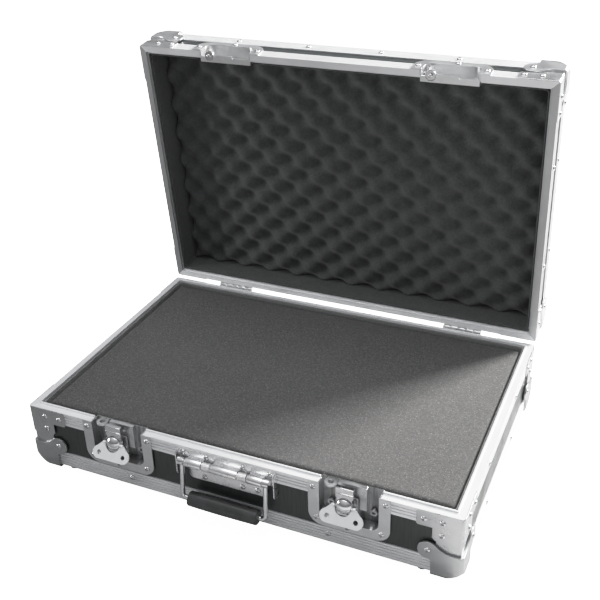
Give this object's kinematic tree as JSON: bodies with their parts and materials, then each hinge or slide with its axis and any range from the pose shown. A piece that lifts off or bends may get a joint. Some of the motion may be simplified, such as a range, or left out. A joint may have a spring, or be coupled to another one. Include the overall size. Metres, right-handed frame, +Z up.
{
  "type": "flight case",
  "caption": "Briefcase-size flight case: black laminated panels in aluminium extrusions, butterfly latches, bail handle, hinged lid and foam linings.",
  "frame": {"origin": "bottom centre of the open case's bounding box, on the plane of the feet", "axes": "+X across the case towards its right end, +Y from the handle side to the hinge side, +Z up"},
  "size_m": [0.5492, 0.4404, 0.4565],
  "materials": {
    "laminated_ply": "satin",
    "aluminium_extrusion": "satin",
    "foam": "matte",
    "wing_metal": "satin",
    "grip_plastic": "satin",
    "foot_rubber": "matte",
    "rivet_steel": "satin",
    "plain_steel": "satin",
    "bright_plate": "polished",
    "zinc_steel": "satin"
  },
  "bodies": {
    "base": {"base_back_panel": "laminated_ply", "base_ball_corners": "zinc_steel", "base_braces": "zinc_steel", "base_corner_angles": "aluminium_extrusion", "base_edge_back": "aluminium_extrusion", "base_edge_front": "aluminium_extrusion", "base_edge_sides": "aluminium_extrusion", "base_floor_panel": "laminated_ply", "base_foam_block": "foam", "base_front_panel": "laminated_ply", "base_liner": "foam", "base_rim_back": "aluminium_extrusion", "base_rim_front": "aluminium_extrusion", "base_rim_sides": "aluminium_extrusion", "base_rivets": "rivet_steel", "base_side_panels": "laminated_ply", "foot_screws": "plain_steel", "handle_plate": "zinc_steel", "handle_rivets": "rivet_steel", "handle_springs": "plain_steel", "hinge_base_leaves": "zinc_steel", "hinge_pins": "plain_steel", "latch_dish_left": "zinc_steel", "latch_dish_right": "zinc_steel", "latch_housing_left": "zinc_steel", "latch_housing_right": "zinc_steel", "latch_rivets": "rivet_steel", "rubber_feet": "foot_rubber"},
    "lid": {"hinge_lid_leaves": "zinc_steel", "lid_back_panel": "laminated_ply", "lid_ball_corners": "zinc_steel", "lid_braces": "zinc_steel", "lid_corner_angles": "aluminium_extrusion", "lid_edge_back": "aluminium_extrusion", "lid_edge_front": "aluminium_extrusion", "lid_edge_sides": "aluminium_extrusion", "lid_foam": "foam", "lid_front_panel": "laminated_ply", "lid_latch_dishes": "zinc_steel", "lid_liner": "foam", "lid_locating_pins": "plain_steel", "lid_rim_back": "aluminium_extrusion", "lid_rim_front": "aluminium_extrusion", "lid_rim_sides": "aluminium_extrusion", "lid_rivets": "rivet_steel", "lid_side_panels": "laminated_ply", "lid_top_panel": "laminated_ply"},
    "bail": {"handle_bail": "bright_plate", "handle_grip": "grip_plastic"},
    "left_key": {"latch_key_left": "bright_plate"},
    "left_wing": {"latch_wing_left": "wing_metal"},
    "left_slide": {"latch_slide_left": "plain_steel"},
    "left_hook": {"latch_hook_left": "bright_plate"},
    "right_key": {"latch_key_right": "bright_plate"},
    "right_wing": {"latch_wing_right": "wing_metal"},
    "right_slide": {"latch_slide_right": "plain_steel"},
    "right_hook": {"latch_hook_right": "bright_plate"}
  },
  "joints": [
    {"name": "lid_hinge", "type": "hinge", "parent": "base", "child": "lid", "pos_m": [0, 0.16211, 0.08915], "axis": [-1, 0, 0], "range_deg": [-84, 0]},
    {"name": "bail_pivot", "type": "hinge", "parent": "base", "child": "bail", "pos_m": [0, -0.20544, 0.073], "axis": [-1, 0, 0], "range_deg": [0, 84], "stiffness_Nm_per_rad": 0.05},
    {"name": "left_key_turn", "type": "hinge", "parent": "base", "child": "left_key", "pos_m": [-0.1499, -0.19869, 0.067], "axis": [0, 1, 0], "range_deg": [0, 180]},
    {"name": "left_wing_fold", "type": "hinge", "parent": "left_key", "child": "left_wing", "pos_m": [-0.1499, -0.20289, 0.067], "axis": [-1, 0, 0], "range_deg": [-34, 56]},
    {"name": "left_slide_lift", "type": "slide", "parent": "base", "child": "left_slide", "axis": [0, 0, 1], "range_m": [0, 0.007]},
    {"name": "left_hook_tilt", "type": "hinge", "parent": "left_slide", "child": "left_hook", "pos_m": [-0.1499, -0.19809, 0.0533], "axis": [1, 0, 0], "range_deg": [-6, 0]},
    {"name": "right_key_turn", "type": "hinge", "parent": "base", "child": "right_key", "pos_m": [0.1411, -0.19869, 0.067], "axis": [0, 1, 0], "range_deg": [0, 180]},
    {"name": "right_wing_fold", "type": "hinge", "parent": "right_key", "child": "right_wing", "pos_m": [0.1411, -0.20289, 0.067], "axis": [-1, 0, 0], "range_deg": [-34, 56]},
    {"name": "right_slide_lift", "type": "slide", "parent": "base", "child": "right_slide", "axis": [0, 0, 1], "range_m": [0, 0.007]},
    {"name": "right_hook_tilt", "type": "hinge", "parent": "right_slide", "child": "right_hook", "pos_m": [0.1411, -0.19809, 0.0533], "axis": [1, 0, 0], "range_deg": [-6, 0]}
  ],
  "couplings": [
    {"joint": "left_slide_lift", "follows": "left_key_turn", "m_per_rad": 0.002228},
    {"joint": "right_slide_lift", "follows": "right_key_turn", "m_per_rad": 0.002228}
  ]
}
